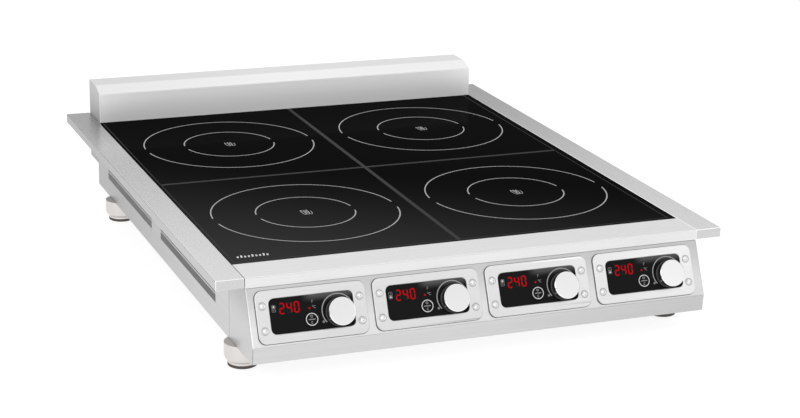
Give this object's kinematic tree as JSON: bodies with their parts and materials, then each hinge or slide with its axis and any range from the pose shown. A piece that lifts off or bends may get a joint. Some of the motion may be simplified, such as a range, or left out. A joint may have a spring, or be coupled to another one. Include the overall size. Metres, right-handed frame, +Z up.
{
  "type": "electric induction cooktop",
  "caption": "Countertop induction cooktop with flush black glass, ringed zones, a rear upstand and a sloping control front with knobs and displays.",
  "frame": {"origin": "on the floor plane under the middle of the bounding box", "axes": "+X to the right seen from the front, +Y to the back, +Z up"},
  "size_m": [0.7, 0.8752, 0.189],
  "materials": {
    "satin_steel": "satin brushed stainless sheet",
    "black_glass": "gloss black glass-ceramic",
    "seal_rubber": "matt black silicone",
    "galvanised_sheet": "matt galvanised",
    "black_plastic": "matt moulded",
    "leg_metal": "satin warm grey",
    "foot_rubber": "matt dark rubber",
    "window_black": "gloss black acrylic",
    "circuit_board": "green solder mask",
    "knob_aluminium": "fine satin with a bright rim",
    "mica_board": "matt",
    "copper_litz": "enamelled wire",
    "heatsink_aluminium": "mill finish",
    "white_plastic": "matt moulded"
  },
  "bodies": {
    "root": {"left_side_rail": "satin_steel", "right_side_rail": "satin_steel", "front_top_strip": "satin_steel", "glass_top": "black_glass", "glass_seal": "seal_rubber", "rear_housing": "satin_steel", "front_fascia": "satin_steel", "left_side_panel": "satin_steel", "right_side_panel": "satin_steel", "rear_panel": "satin_steel", "base_pan": "galvanised_sheet", "cable_gland": "black_plastic", "front_left_leg": "leg_metal", "front_right_leg": "leg_metal", "rear_left_leg": "leg_metal", "rear_right_leg": "leg_metal", "bezel_plate_1": "satin_steel", "display_window_1": "window_black", "control_board_1": "circuit_board", "bezel_plate_2": "satin_steel", "display_window_2": "window_black", "control_board_2": "circuit_board", "bezel_plate_3": "satin_steel", "display_window_3": "window_black", "control_board_3": "circuit_board", "bezel_plate_4": "satin_steel", "display_window_4": "window_black", "control_board_4": "circuit_board", "coil_carrier_front_left": "mica_board", "coil_carrier_front_right": "mica_board", "coil_carrier_rear_left": "mica_board", "coil_carrier_rear_right": "mica_board", "coil_winding_front_left": "copper_litz", "coil_winding_front_right": "copper_litz", "coil_winding_rear_left": "copper_litz", "coil_winding_rear_right": "copper_litz", "power_board_left": "circuit_board", "power_board_right": "circuit_board", "heatsink_left": "heatsink_aluminium", "heatsink_right": "heatsink_aluminium", "fan_frame_left": "black_plastic", "fan_frame_right": "black_plastic", "terminal_block": "white_plastic"},
    "knob_1_body": {"knob_1": "knob_aluminium"},
    "knob_2_body": {"knob_2": "knob_aluminium"},
    "knob_3_body": {"knob_3": "knob_aluminium"},
    "knob_4_body": {"knob_4": "knob_aluminium"},
    "push_button_1_body": {"push_button_1": "window_black"},
    "push_button_2_body": {"push_button_2": "window_black"},
    "push_button_3_body": {"push_button_3": "window_black"},
    "push_button_4_body": {"push_button_4": "window_black"},
    "front_left_foot_body": {"front_left_foot": "foot_rubber"},
    "front_right_foot_body": {"front_right_foot": "foot_rubber"},
    "rear_left_foot_body": {"rear_left_foot": "foot_rubber"},
    "rear_right_foot_body": {"rear_right_foot": "foot_rubber"},
    "fan_rotor_left_body": {"fan_rotor_left": "black_plastic"},
    "fan_rotor_right_body": {"fan_rotor_right": "black_plastic"}
  },
  "joints": [
    {"name": "knob_1_turn", "type": "hinge", "parent": "root", "child": "knob_1_body", "pos_m": [-0.1971, -0.41563, 0.08392], "axis": [0, 0.9099, -0.4148], "range_deg": [0, 270]},
    {"name": "knob_2_turn", "type": "hinge", "parent": "root", "child": "knob_2_body", "pos_m": [-0.0439, -0.41563, 0.08392], "axis": [0, 0.9099, -0.4148], "range_deg": [0, 270]},
    {"name": "knob_3_turn", "type": "hinge", "parent": "root", "child": "knob_3_body", "pos_m": [0.1093, -0.41563, 0.08392], "axis": [0, 0.9099, -0.4148], "range_deg": [0, 270]},
    {"name": "knob_4_turn", "type": "hinge", "parent": "root", "child": "knob_4_body", "pos_m": [0.2625, -0.41563, 0.08392], "axis": [0, 0.9099, -0.4148], "range_deg": [0, 270]},
    {"name": "push_button_1_press", "type": "slide", "parent": "root", "child": "push_button_1_body", "axis": [0, 0.9099, -0.4148], "range_m": [0, 0.0008], "stiffness_N_per_m": 400, "springref_m": -0.002},
    {"name": "push_button_2_press", "type": "slide", "parent": "root", "child": "push_button_2_body", "axis": [0, 0.9099, -0.4148], "range_m": [0, 0.0008], "stiffness_N_per_m": 400, "springref_m": -0.002},
    {"name": "push_button_3_press", "type": "slide", "parent": "root", "child": "push_button_3_body", "axis": [0, 0.9099, -0.4148], "range_m": [0, 0.0008], "stiffness_N_per_m": 400, "springref_m": -0.002},
    {"name": "push_button_4_press", "type": "slide", "parent": "root", "child": "push_button_4_body", "axis": [0, 0.9099, -0.4148], "range_m": [0, 0.0008], "stiffness_N_per_m": 400, "springref_m": -0.002},
    {"name": "front_left_foot_level", "type": "slide", "parent": "root", "child": "front_left_foot_body", "axis": [0, 0, -1], "range_m": [0, 0.015]},
    {"name": "front_right_foot_level", "type": "slide", "parent": "root", "child": "front_right_foot_body", "axis": [0, 0, -1], "range_m": [0, 0.015]},
    {"name": "rear_left_foot_level", "type": "slide", "parent": "root", "child": "rear_left_foot_body", "axis": [0, 0, -1], "range_m": [0, 0.015]},
    {"name": "rear_right_foot_level", "type": "slide", "parent": "root", "child": "rear_right_foot_body", "axis": [0, 0, -1], "range_m": [0, 0.015]},
    {"name": "fan_left_spin", "type": "hinge", "parent": "root", "child": "fan_rotor_left_body", "pos_m": [-0.1555, -0.165, 0.0473], "axis": [0, 0, 1], "continuous": true},
    {"name": "fan_right_spin", "type": "hinge", "parent": "root", "child": "fan_rotor_right_body", "pos_m": [0.1555, -0.165, 0.0473], "axis": [0, 0, 1], "continuous": true}
  ]
}
